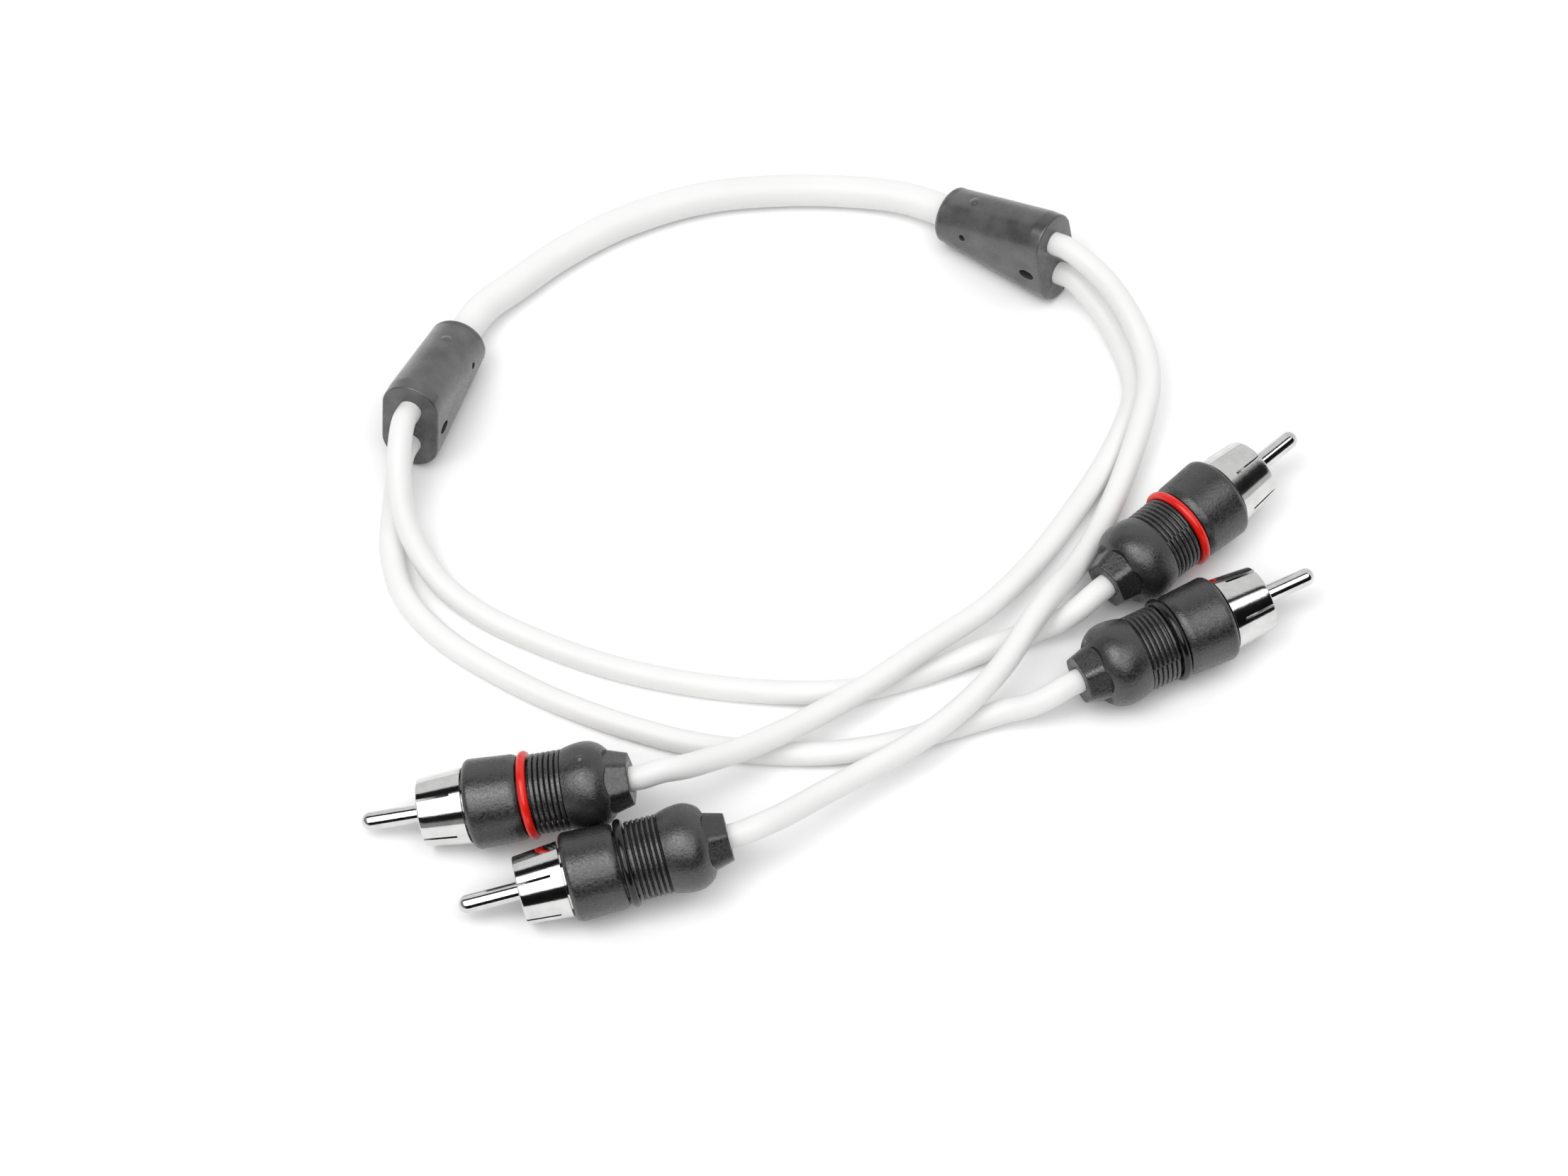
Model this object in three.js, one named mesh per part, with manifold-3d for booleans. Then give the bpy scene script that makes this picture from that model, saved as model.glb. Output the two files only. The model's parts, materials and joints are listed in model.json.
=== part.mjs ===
// Stereo audio cable: one round trunk cord between two moulded splitters, and from each splitter
// two thinner leads, each with a phono plug that carries a red or a black ring.
// Millimetres, +Z up, the floor at z = 0. The cable lies as it fell, in one open loop.
import * as THREE from "three";
import { mergeVertices, toCreasedNormals } from "three/addons/utils/BufferGeometryUtils.js";
import Module from "manifold-3d";

const wasm = await Module();
wasm.setup();

// Clearances
const fit = 0.3; // between two pieces that touch
const wireFit = 0.25; // round a wire in its cup or channel

// Cords
const trunkDiameter = 6;
const leadDiameter = 4.3;
const trunkInsertion = 8; // how far the trunk reaches into a splitter
const leadInsertion = 7.5; // how far a lead reaches into a splitter
const leadInBoot = 11.4; // how far a lead reaches into its boot
const straightRun = 3; // a cord leaves a splitter straight for this far
const neckRun = 2; // a lead leaves its plug straight for this far
const cordStep = 8.5; // between two sections of a cord

// Facets round a turned piece
const outerSides = 20;
const innerSides = 12;
const wireSides = 6;

// Centre pin of a plug. Stations along a plug count from the boot's front face, plus towards the pin's tip.
const pinRadius = 1.6;
const pinReach = 19.1;
const pinFlangeRadius = 2.2;
const pinFlangeWidth = 0.9;
const cupRadius = 1.5;
const cupBore = 0.95;
const cupLength = 4.3;
const cupDepth = 3.4;

// Shell of a plug, the outer contact
const shellReach = 8.3;
const rimRadius = 5.95;
const rimChamfer = 0.25;
const skirtRadius = 6.85;
const collarRadius = 7.15;
const collarWidth = 0.6;
const shellBore = 4.3;
const mouthChamfer = 0.6;
const backWall = 3;
const wallHole = 3.3;
const seatRadius = 5.4;
const seatLength = 5;
const seatPocket = 3.7;
const slotCount = 5;
const slotWidth = 0.5;
const slotLength = 6;
const tailWidth = 2;
const tailThickness = 0.6;
const tailLength = 5.4;

// Insulator bush
const bushFlangeWidth = 0.8;
const bushTail = 1.6; // beyond the shell's back wall

// Boot, from its front face back to the lead
const barrelRadius = 7.8;
const barrelWaist = 7.45;
const barrelHeel = 6.9;
const barrelLength = 9.3;
const edgeRadius = 1.1;
const ringRadius = 0.8; // of the ring's own round section
const ringOuter = barrelRadius - 0.1;
const ribCount = 6;
const ribPitch = 0.94;
const ribRadius = 6.9;
const ribDepth = 0.4;
const ribGroove = 0.34;
const bulbRadius = 7.63;
const bulbStartRadius = 6.3;
const bulbFront = 3.8; // from the last rib to the bulb's widest place
const bulbRear = 3.9; // from there to the neck
const bulbWrap = 55; // degrees that the bulb's side turns through between the two
const neckBase = 5.5;
const neckEnd = 4.5;
const neckLength = 3.4;
const neckFlats = 6;
const flatDepth = 0.09; // of the neck's radius
const cavityRadius = 4.8;
const cavityStart = 5.8;
const gateRadius = 0.55;
const gateHeight = 0.3;

// Wires inside a boot
const coreRadius = 1;
const strandRadius = 0.65;
const drainRadius = 0.5;

// Splitter
const sleeveLength = 24;
const sleeveRadius = 5.4;
const leadSpacing = 8;
const trunkEndRound = 1;
const leadEndRound = 0.35;
const taperStart = 1.5;
const taperEnd = 21.5;
const pairRadius = 1.1;
const pairSpacing = 2.8;
const pinHole = { radius: 0.65, depth: 1.6, along: 6.7, up: 1.7 };
const ovalHole = { radius: 0.95, stretch: 1.35, depth: 2, along: 20.8, up: -1 };
const sprue = { radius: 0.8, height: 0.25, along: 6.6 };

// Places on the floor
const splitters = {
  left: { x: -59.2, y: 50.4, yaw: -109.5, holesOn: -1 },
  right: { x: 30.8, y: 79.6, yaw: -35.7, holesOn: 1 },
};
const plugs = {
  right_red: {
    x: -53.7,
    y: -49.1,
    yaw: 184.4,
    tilt: 10.6,
    slotTurn: -10.4,
    neckTurn: -31,
    colour: "red",
  },
  right_black: {
    x: -36.7,
    y: -63.6,
    yaw: 192.2,
    tilt: 7.8,
    slotTurn: -19.5,
    neckTurn: 3,
    colour: "black",
  },
  left_red: {
    x: 77.5,
    y: 14.6,
    yaw: 42.4,
    tilt: "flat",
    slotTurn: 13.5,
    neckTurn: -3,
    colour: "red",
  },
  left_black: {
    x: 76.3,
    y: -11,
    yaw: 27.6,
    tilt: "flat",
    slotTurn: -23.5,
    neckTurn: -3,
    colour: "black",
  },
};

// Free stretches of the cords, point by point from the splitter outwards
const trunkPoints = [
  [-54.9, 58.8, 4.2],
  [-49.9, 63.8, 3.6],
  [-40.8, 72, 3.2],
  [-29.3, 79.4, 3.1],
  [-15.2, 84.7, 3.1],
  [0.1, 86.5, 3.1],
  [13, 86.1, 3.2],
  [22, 84.2, 4],
];
const leadPoints = {
  right_black: [
    [54.9, 62, 13.7],
    [58.6, 58.6, 12.4],
    [61.9, 54.4, 10.4],
    [64.4, 49.6, 8.6],
    [65.9, 44.4, 7.3],
    [66, 38.6, 6.8],
    [64.6, 32.4, 6.2],
    [62.3, 25.2, 4.9],
    [60.2, 19.6, 3.8],
    [57.2, 12.4, 3.4],
    [54.2, 5.8, 4.2],
    [50.8, -0.8, 6.3],
    [47.2, -6.8, 8.9],
    [43, -13.5, 9.2],
    [37.6, -22, 8.2],
    [29.7, -30.7, 7.5],
    [22, -37, 7.4],
    [13.2, -43.2, 8.1],
    [6.4, -48.2, 9.5],
    [-0.4, -53.6, 11.4],
    [-4.4, -56.2, 12.3],
  ],
  right_red: [
    [55.6, 61, 5.4],
    [58.4, 57.6, 4],
    [61.2, 52.4, 2.8],
    [63.3, 46, 2.3],
    [63.6, 40.1, 2.2],
    [61.5, 33.2, 2.2],
    [57.4, 24.4, 2.2],
    [52, 15.2, 2.2],
    [45.1, 4.6, 2.8],
    [35.8, -7.3, 5.2],
    [24.5, -17, 6.9],
    [15.5, -24.1, 7],
    [4.5, -31.5, 7],
    [-5.6, -38, 8.8],
    [-12.6, -42.2, 11.1],
    [-17, -44.7, 12.8],
    [-21, -46.1, 13.8],
  ],
  left_red: [
    [-68.4, 20.8, 13.2],
    [-68.3, 16.2, 11.2],
    [-67.6, 10.9, 8.3],
    [-65.3, 5.5, 5.4],
    [-60.8, -0.8, 2.9],
    [-53.5, -6.9, 2.2],
    [-42.2, -13.1, 2.2],
    [-28.7, -18.4, 2.2],
    [-13.1, -21.9, 2.2],
    [2.4, -23.2, 2.2],
    [13.4, -22.5, 2.2],
    [24.1, -19.3, 2.2],
    [35.8, -14.2, 2.2],
    [42.4, -11.4, 2.5],
    [45.4, -10.4, 3.2],
    [48.4, -10, 4.6],
    [51.6, -8.8, 6.6],
  ],
  left_black: [
    [-69.2, 20, 4.8],
    [-69.8, 14.2, 3],
    [-69.9, 6.6, 2.3],
    [-67.2, -3, 2.2],
    [-60.5, -11.5, 2.2],
    [-49.8, -19.3, 2.2],
    [-38.5, -25.5, 2.2],
    [-25.2, -30.9, 2.2],
    [-13, -34.2, 2.2],
    [4.5, -35.7, 2.2],
    [15.5, -34.4, 2.2],
    [24.4, -31.9, 2.2],
    [34.5, -28.8, 2.7],
    [38.8, -27.8, 3.7],
    [42.5, -27.8, 5.2],
    [46, -27, 6.9],
  ],
};

// Materials
const finish = (color, roughness, metalness) =>
  new THREE.MeshStandardMaterial({ color, roughness, metalness });
const rubber = finish(0x47474a, 0.75, 0);
const nickel = finish(0xd9d9d6, 0.15, 1);
const whiteJacket = finish(0xf2f2f0, 0.4, 0);
const natural = finish(0xe8e4d8, 0.5, 0);
const copper = finish(0xc98a5a, 0.3, 1);
const ringColours = { red: finish(0xd8160c, 0.3, 0), black: finish(0x0c0c0d, 0.25, 0) };
const coreColours = { red: finish(0xb3261e, 0.5, 0), black: finish(0x202022, 0.5, 0) };

const degrees = THREE.MathUtils.degToRad;
const vector = (x, y, z) => new THREE.Vector3(x, y, z);

// A closed geometry as a solid that can be cut and joined.
function solid(geometry) {
  const bare = geometry.clone();
  bare.deleteAttribute("normal");
  bare.deleteAttribute("uv");
  const merged = mergeVertices(bare, 1e-4);
  return new wasm.Manifold(
    new wasm.Mesh({
      numProp: 3,
      vertProperties: new Float32Array(merged.attributes.position.array),
      triVerts: new Uint32Array(merged.index.array),
    }),
  );
}

// A solid back as a geometry.
function geometryOf(body) {
  const mesh = body.getMesh();
  const geometry = new THREE.BufferGeometry();
  geometry.setAttribute("position", new THREE.BufferAttribute(mesh.vertProperties, 3));
  geometry.setIndex(new THREE.BufferAttribute(mesh.triVerts, 1));
  return geometry;
}

// The body's solid, less each tool's.
function cut(body, tools) {
  return tools.reduce((left, tool) => left.subtract(solid(tool)), body);
}

// A turned shape from [radius, station] pairs: up the outside, then down the inside.
function revolve(profile, sides) {
  const points = profile.map(([radius, station]) => new THREE.Vector2(radius, station));
  if (profile[0][0] > 0) points.push(points[0].clone());
  return new THREE.LatheGeometry(points, sides);
}

// A round bar along a curve.
function bar(curve, radius, steps, sides) {
  const section = new THREE.Shape().absarc(0, 0, radius, 0, 2 * Math.PI);
  return new THREE.ExtrudeGeometry(section, {
    extrudePath: curve,
    steps,
    curveSegments: sides / 2,
  });
}

function curveThrough(points) {
  return new THREE.CatmullRomCurve3(points, false, "centripetal");
}

// Points of a quarter turn from angle a to angle b about [radius, station].
function arc(radius, station, round, a, b, steps) {
  return Array.from({ length: steps + 1 }, (_, i) => {
    const angle = a + ((b - a) * i) / steps;
    const out = radius + round * Math.cos(angle);
    return [out < 1e-9 ? 0 : out, station + round * Math.sin(angle)];
  });
}

function add(group, name, geometry, material) {
  const smooth = toCreasedNormals(geometry, degrees(32));
  const mesh = new THREE.Mesh(smooth, material);
  mesh.name = name;
  group.add(mesh);
  return mesh;
}

// Stations that more than one piece of a plug uses
const collarBack = fit;
const bowlFloor = collarBack;
const backFace = bowlFloor - backWall;
const shellBack = -seatLength;
const bushFront = bowlFloor + fit + bushFlangeWidth;
const bushBack = backFace - bushTail;
const pinFlangeFront = bushBack - fit;
const pinFlangeBack = pinFlangeFront - pinFlangeWidth;
const cupEnd = pinFlangeBack - cupLength;
const ringStation = -(barrelLength + ringRadius + fit);
const ribsStart = ringStation - ringRadius - fit;
const ribsEnd = ribsStart - ribCount * ribPitch;
const bulbStation = ribsEnd - bulbFront;
const bulbEnd = bulbStation - bulbRear;
const bootEnd = bulbEnd - neckLength;
const leadEnd = bootEnd + leadInBoot;
const cavityEnd = leadEnd + fit;

function pinGeometry() {
  return revolve(
    [
      [0, cupEnd + cupDepth],
      [cupBore, cupEnd + cupDepth],
      [cupBore, cupEnd],
      [cupRadius, cupEnd],
      [cupRadius, pinFlangeBack],
      [pinFlangeRadius, pinFlangeBack],
      [pinFlangeRadius, pinFlangeFront],
      [pinRadius, pinFlangeFront],
      ...arc(0, pinReach - pinRadius, pinRadius, 0, Math.PI / 2, 3),
    ],
    innerSides,
  );
}

function bushGeometry() {
  const bore = pinRadius + fit;
  return revolve(
    [
      [wallHole - fit, bushBack],
      [wallHole - fit, bowlFloor + fit],
      [shellBore - fit, bowlFloor + fit],
      [shellBore - fit, bushFront],
      [bore, bushFront],
      [bore, bushBack],
    ],
    innerSides,
  );
}

function shellGeometry(slotTurn) {
  const turned = revolve(
    [
      [seatRadius, shellBack],
      [seatRadius, collarBack],
      [collarRadius, collarBack],
      [collarRadius, collarBack + collarWidth],
      [skirtRadius, collarBack + collarWidth],
      [rimRadius, shellReach - rimChamfer],
      [rimRadius - rimChamfer, shellReach],
      [shellBore + mouthChamfer, shellReach],
      [shellBore, shellReach - 2 * mouthChamfer],
      [shellBore, bowlFloor],
      [wallHole, bowlFloor],
      [wallHole, backFace],
      [seatPocket, backFace],
      [seatPocket, shellBack],
    ],
    outerSides,
  );
  const slots = Array.from({ length: slotCount }, (_, i) => {
    const reach = skirtRadius + 1;
    const slot = new THREE.BoxGeometry(slotWidth, slotLength + 1, reach - pinRadius);
    slot.translate(0, shellReach - slotLength / 2 + 0.5, (reach + pinRadius) / 2);
    return slot.rotateY(degrees(slotTurn) + (2 * Math.PI * i) / slotCount);
  });
  const overlap = 0.5;
  const tail = new THREE.BoxGeometry(tailWidth, tailLength + overlap, tailThickness);
  tail.translate(0, shellBack - tailLength / 2 + overlap / 2, seatPocket + tailThickness / 2 + 0.05);
  return geometryOf(cut(solid(turned), slots).add(solid(tail)));
}

function ringGeometry() {
  const section = arc(ringOuter - ringRadius, ringStation, ringRadius, 0, 2 * Math.PI, 6);
  section.pop();
  return revolve(section, outerSides);
}

// Outline of the barrel, the ring's groove, the ribs and the bulb, from the back to the front.
function bootOutline() {
  const grooveRadius = ringOuter - 2 * ringRadius - fit;
  const wrap = degrees(bulbWrap);
  const heelSteps = 3;
  const bulbHeel = Array.from({ length: heelSteps + 1 }, (_, i) => {
    const angle = wrap * (1 - i / heelSteps);
    const drop = (1 - Math.cos(angle)) / (1 - Math.cos(wrap));
    return [
      bulbRadius - (bulbRadius - neckBase) * drop,
      bulbStation - (bulbRear * Math.sin(angle)) / Math.sin(wrap),
    ];
  });
  const bulbBrow = [0.45, 0.8, 1].map((share) => [
    bulbStartRadius + (bulbRadius - bulbStartRadius) * Math.sqrt(1 - (0.95 * share) ** 2),
    bulbStation + bulbFront * share,
  ]);
  const ribs = Array.from({ length: ribCount }, (_, i) => {
    const start = ribsEnd + i * ribPitch;
    return [
      [ribRadius - ribDepth, start],
      [ribRadius, start + ribGroove],
      [ribRadius, start + ribPitch - ribGroove / 3],
    ];
  }).flat();
  return [
    ...bulbHeel,
    ...bulbBrow,
    ...ribs,
    [grooveRadius, ribsStart],
    [grooveRadius, -barrelLength],
    [barrelHeel, -barrelLength],
    [barrelWaist, 1 - barrelLength],
    ...arc(barrelRadius - edgeRadius, -edgeRadius, edgeRadius, 0, Math.PI / 2, 3),
  ];
}

// A taper of a number of sides from inside the bulb to the boot's end.
function neckTaper(scale, sides) {
  const rooted = 2;
  const slope = (neckBase - neckEnd) / neckLength;
  const base = scale * (neckBase + slope * rooted);
  const taper = new THREE.CylinderGeometry(base, scale * neckEnd, neckLength + rooted, sides);
  return taper.translate(0, bootEnd + (neckLength + rooted) / 2, 0);
}

// The neck is a round taper with flats, one of them facing neckTurn.
function bootGeometry(neckTurn) {
  const outline = revolve([[0, bulbEnd], ...bootOutline(), [0, 0]], outerSides);
  const flats = neckTaper((1 - flatDepth) / Math.cos(Math.PI / neckFlats), neckFlats);
  flats.rotateY(degrees(neckTurn) + Math.PI / neckFlats);
  const neck = solid(neckTaper(1, outerSides)).intersect(solid(flats));
  const gateSides = 8;
  const gateRoot = 1; // inside the bulb's surface
  const gate = new THREE.CylinderGeometry(gateRadius, gateRadius, 2 * gateRoot, gateSides);
  gate.rotateX(Math.PI / 2).translate(0, bulbStation, bulbRadius - gateRoot + gateHeight);
  const bore = leadDiameter / 2 + fit;
  const socket = seatRadius + fit;
  const hollow = revolve(
    [
      [0, bootEnd - 1],
      [bore, bootEnd - 1],
      [bore, cavityEnd],
      [cavityRadius, cavityEnd + 2],
      [cavityRadius, -cavityStart],
      [socket, shellBack - fit],
      [socket, 1],
      [0, 1],
    ],
    innerSides,
  );
  return geometryOf(cut(solid(outline).add(neck).add(solid(gate)), [hollow]));
}

// The insulated core runs from the lead's end, and its bare strands end in the pin's cup.
function coreGeometry() {
  const strandEnd = cupEnd + cupDepth - wireFit;
  return revolve(
    [
      [0, cavityEnd],
      [coreRadius, cavityEnd],
      [coreRadius, cupEnd - fit],
      [strandRadius, cupEnd - fit],
      [strandRadius, strandEnd],
      [0, strandEnd],
    ],
    wireSides,
  );
}

// The drain wire runs beside the core and lies along the inside of the shell's tail.
function drainGeometry() {
  const atLead = coreRadius + drainRadius + fit;
  const atTail = seatPocket + 0.05 - drainRadius - fit;
  const tailEnd = shellBack - tailLength;
  const drainRise = 1.5; // from the cavity's end to where the wire is clear of the core
  const tailLap = 4; // of the wire along the tail
  const path = curveThrough([
    vector(0, cavityEnd, Math.min(atLead, leadDiameter / 2 - drainRadius)),
    vector(0, cavityEnd + drainRise, atLead),
    ...[0, 0.5, 1].map((share) => vector(0, tailEnd + share * tailLap, atTail)),
  ]);
  return bar(path, drainRadius, 6, wireSides);
}

// Tilt of a plug, nose down: a number of degrees, or that of one lying flat on its barrel and its bulb.
function restingTilt(kind) {
  if (kind === "flat") return -Math.asin((barrelRadius - bulbRadius) / -(bulbStation + edgeRadius));
  return degrees(kind);
}

// Frame of a plug: its axis runs along local Y, and local Z leans up.
function plugFrame({ x, y, yaw, tilt }) {
  const angle = restingTilt(tilt);
  const heading = degrees(yaw);
  const axis = vector(
    Math.cos(heading) * Math.cos(angle),
    Math.sin(heading) * Math.cos(angle),
    -Math.sin(angle),
  );
  const side = vector(Math.sin(heading), -Math.cos(heading), 0);
  const up = side.clone().cross(axis);
  const group = new THREE.Group();
  group.quaternion.setFromRotationMatrix(new THREE.Matrix4().makeBasis(side, axis, up));
  const edgeHeight = (barrelRadius - edgeRadius) * Math.cos(angle) + edgeRadius;
  group.position.set(x, y, edgeHeight - edgeRadius * Math.sin(angle));
  return { group, axis, at: (station) => group.position.clone().addScaledVector(axis, station) };
}

function buildPlug(name, place) {
  const frame = plugFrame(place);
  const { group } = frame;
  add(group, name + "_pin", pinGeometry(), nickel);
  add(group, name + "_insulator", bushGeometry(), natural);
  add(group, name + "_shell", shellGeometry(place.slotTurn), nickel);
  add(group, name + "_boot", bootGeometry(place.neckTurn), rubber);
  add(group, name + "_ring", ringGeometry(), ringColours[place.colour]);
  add(group, name + "_core", coreGeometry(), coreColours[place.colour]);
  add(group, name + "_drain", drainGeometry(), copper);
  return frame;
}

// Frame of a splitter: its axis runs along local Y from the trunk end, and local Z leans up.
function splitterFrame({ x, y, yaw }) {
  const heading = degrees(yaw);
  // It lies on the rounded edge of its trunk end and on the end of its lower taper.
  const tilt = Math.atan2(leadSpacing / 2, taperEnd - trunkEndRound);
  const axis = vector(
    Math.cos(heading) * Math.cos(tilt),
    Math.sin(heading) * Math.cos(tilt),
    Math.sin(tilt),
  );
  const side = vector(Math.sin(heading), -Math.cos(heading), 0);
  const up = side.clone().cross(axis);
  const group = new THREE.Group();
  group.quaternion.setFromRotationMatrix(new THREE.Matrix4().makeBasis(side, axis, up));
  const edgeHeight = (sleeveRadius - trunkEndRound) * Math.cos(tilt) + trunkEndRound;
  group.position.set(x, y, edgeHeight - trunkEndRound * Math.sin(tilt));
  const at = (along, high) =>
    group.position.clone().addScaledVector(axis, along).addScaledVector(up, high);
  return { group, at };
}

// Half the distance between the two round halves of the sleeve, at a station along it.
function spread(along) {
  const share = THREE.MathUtils.clamp((along - taperStart) / (taperEnd - taperStart), 0, 1);
  return (leadSpacing / 2) * share;
}

// The sleeve is a turned bar whose upper half is raised and lower half lowered as it nears the leads.
function sleeveGeometry() {
  const roundedEnd = (round) => arc(sleeveRadius - round, -round, round, 0, Math.PI / 2, 2);
  const front = roundedEnd(leadEndRound).map(([radius, along]) => [radius, sleeveLength + along]);
  const back = roundedEnd(trunkEndRound).map(([radius, along]) => [radius, -along]).reverse();
  const middle = [taperStart, taperEnd].map((along) => [sleeveRadius, along]);
  const sleeve = revolve([[0, 0], ...back, ...middle, ...front, [0, sleeveLength]], outerSides);
  // The lathe's own vertices at local z = 0 stay on the flat sides' middle line.
  const places = sleeve.attributes.position;
  for (let i = 0; i < places.count; i++) {
    const z = places.getZ(i);
    if (Math.abs(z) > 1e-6) places.setZ(i, z + Math.sign(z) * spread(places.getY(i)));
  }
  return sleeve;
}

function pairCurve(high, runIn) {
  const start = trunkInsertion + fit - runIn;
  const end = sleeveLength - leadInsertion - fit + runIn;
  const low = (pairSpacing / 2) * high;
  const wide = (leadSpacing / 2) * high;
  return curveThrough([
    vector(0, start, low),
    vector(0, trunkInsertion + fit + 1.2, low),
    vector(0, sleeveLength - leadInsertion - fit - 1.2, wide),
    vector(0, end, wide),
  ]);
}

function boreAlong(radius, from, to, high) {
  const bore = new THREE.CylinderGeometry(radius, radius, to - from, innerSides);
  return bore.translate(0, (from + to) / 2, high);
}

function splitterGeometry(holesOn) {
  const half = leadSpacing / 2;
  const trunkBore = boreAlong(trunkDiameter / 2 + fit, -1, trunkInsertion + fit, 0);
  const leadBores = [-half, half].map((high) =>
    boreAlong(leadDiameter / 2 + fit, sleeveLength - leadInsertion - fit, sleeveLength + 1, high),
  );
  const channels = [-1, 1].map((high) => bar(pairCurve(high, 0.2), pairRadius + wireFit, 6, wireSides));
  const face = holesOn * sleeveRadius;
  const pocket = ({ radius, stretch = 1, depth, along, up }) => {
    const hole = new THREE.CylinderGeometry(radius, radius, 2 * depth, innerSides);
    return hole.rotateZ(Math.PI / 2).scale(1, stretch, 1).translate(face, along, up);
  };
  const bump = new THREE.CylinderGeometry(sprue.radius, sprue.radius, 2, 8);
  bump.rotateX(Math.PI / 2);
  bump.translate(0, sprue.along, sleeveRadius + spread(sprue.along) + sprue.height - 1);
  const body = solid(sleeveGeometry()).add(solid(bump));
  return geometryOf(
    cut(body, [trunkBore, ...leadBores, ...channels, pocket(pinHole), pocket(ovalHole)]),
  );
}

function buildSplitter(name, place) {
  const frame = splitterFrame(place);
  add(frame.group, name + "_splitter", splitterGeometry(place.holesOn), rubber);
  const pairs = { upper: 1, lower: -1 };
  for (const [level, high] of Object.entries(pairs)) {
    add(frame.group, name + "_" + level + "_pair", bar(pairCurve(high, 0), pairRadius, 6, wireSides), natural);
  }
  return frame;
}

// A cord from one straight end to the other, through its free points.
function buildCord(group, name, diameter, points, sides) {
  const curve = curveThrough(points);
  const steps = Math.round(curve.getLength() / cordStep);
  add(group, name, bar(curve, diameter / 2, steps, sides), whiteJacket);
}

const layout = new THREE.Group();

const splitterFrames = {};
for (const [name, place] of Object.entries(splitters)) {
  splitterFrames[name] = buildSplitter(name, place);
  layout.add(splitterFrames[name].group);
}

const plugFrames = {};
for (const [name, place] of Object.entries(plugs)) {
  plugFrames[name] = buildPlug(name, place);
  layout.add(plugFrames[name].group);
}

// The origin is on the floor under the middle of the plugs and splitters.
const middle = new THREE.Box3().expandByObject(layout, true).getCenter(vector(0, 0, 0));
layout.position.set(-middle.x, -middle.y, 0);

const trunkEndPoints = (frame) => [trunkInsertion, 0, -straightRun].map((along) => frame.at(along, 0));
buildCord(
  layout,
  "trunk_cord",
  trunkDiameter,
  [
    ...trunkEndPoints(splitterFrames.left),
    ...trunkPoints.map((point) => vector(...point)),
    ...trunkEndPoints(splitterFrames.right).reverse(),
  ],
  10,
);

// Which of a splitter's two ways out a lead takes: 1 the upper one, -1 the lower one.
const leadLevels = { left_red: 1, left_black: -1, right_red: -1, right_black: 1 };
for (const [name, level] of Object.entries(leadLevels)) {
  const splitter = splitterFrames[name.split("_")[0]];
  const plug = plugFrames[name];
  const high = (leadSpacing / 2) * level;
  buildCord(
    layout,
    name + "_lead",
    leadDiameter,
    [
      ...[-leadInsertion, 0, straightRun].map((out) => splitter.at(sleeveLength + out, high)),
      ...leadPoints[name].map((point) => vector(...point)),
      ...[-neckRun, 0, leadInBoot].map((inward) => plug.at(bootEnd + inward)),
    ],
    8,
  );
}

const cable = new THREE.Group();
cable.add(layout);

export default cable;
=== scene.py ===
# Looks of a stereo audio cable: white cords, grained dark mouldings, bright plated plugs with red or black rings.
import json
import math

import bmesh
import bpy
import numpy as np
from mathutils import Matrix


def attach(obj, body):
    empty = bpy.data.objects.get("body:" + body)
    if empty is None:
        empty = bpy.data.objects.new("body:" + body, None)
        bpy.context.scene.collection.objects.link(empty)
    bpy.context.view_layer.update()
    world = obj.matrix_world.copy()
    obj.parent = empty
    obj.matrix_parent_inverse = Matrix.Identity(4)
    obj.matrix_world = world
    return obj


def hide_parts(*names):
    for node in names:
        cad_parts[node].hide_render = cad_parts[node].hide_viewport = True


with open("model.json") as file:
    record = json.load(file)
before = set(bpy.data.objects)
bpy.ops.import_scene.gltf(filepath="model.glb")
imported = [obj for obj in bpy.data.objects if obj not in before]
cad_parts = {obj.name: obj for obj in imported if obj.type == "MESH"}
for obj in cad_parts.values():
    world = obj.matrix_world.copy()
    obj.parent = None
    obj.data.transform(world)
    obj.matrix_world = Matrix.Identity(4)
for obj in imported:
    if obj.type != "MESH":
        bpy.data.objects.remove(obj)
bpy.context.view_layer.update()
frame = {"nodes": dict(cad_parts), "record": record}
nodes = frame["nodes"]
mm = 0.001
turn = 2 * math.pi

# The layout is measured from the middle of the loop's floor. The part's origin lies off that point.
layoutMiddle = np.array([10.4939, 6.24527, 0])


def place(points):
    # Layout millimetres to metres in the part's frame.
    return (np.asarray(points, float) - layoutMiddle) * mm


# Camera at the photograph's viewing angle
view = {
    "elevation": 57,
    "distance": 880,
    "scale": 0.126,  # millimetres of floor under one pixel, in the middle of the photograph
    "pictureWidth": 2212,
    "sensor": 36,
}
camera = bpy.data.objects.new("camera", bpy.data.cameras.new("camera"))
bpy.context.scene.collection.objects.link(camera)
bpy.context.scene.camera = camera
lean = math.radians(view["elevation"])
camera.location = place([0, -view["distance"] * math.cos(lean), view["distance"] * math.sin(lean)])
camera.rotation_euler = (math.pi / 2 - lean, 0, 0)
camera.data.sensor_width = view["sensor"]
camera.data.lens = view["sensor"] * view["distance"] / view["scale"] / view["pictureWidth"]
camera.data.clip_start = 0.05
camera.data.clip_end = 20
bpy.context.scene.view_settings.view_transform = "Standard"
print("camera set")


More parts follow.
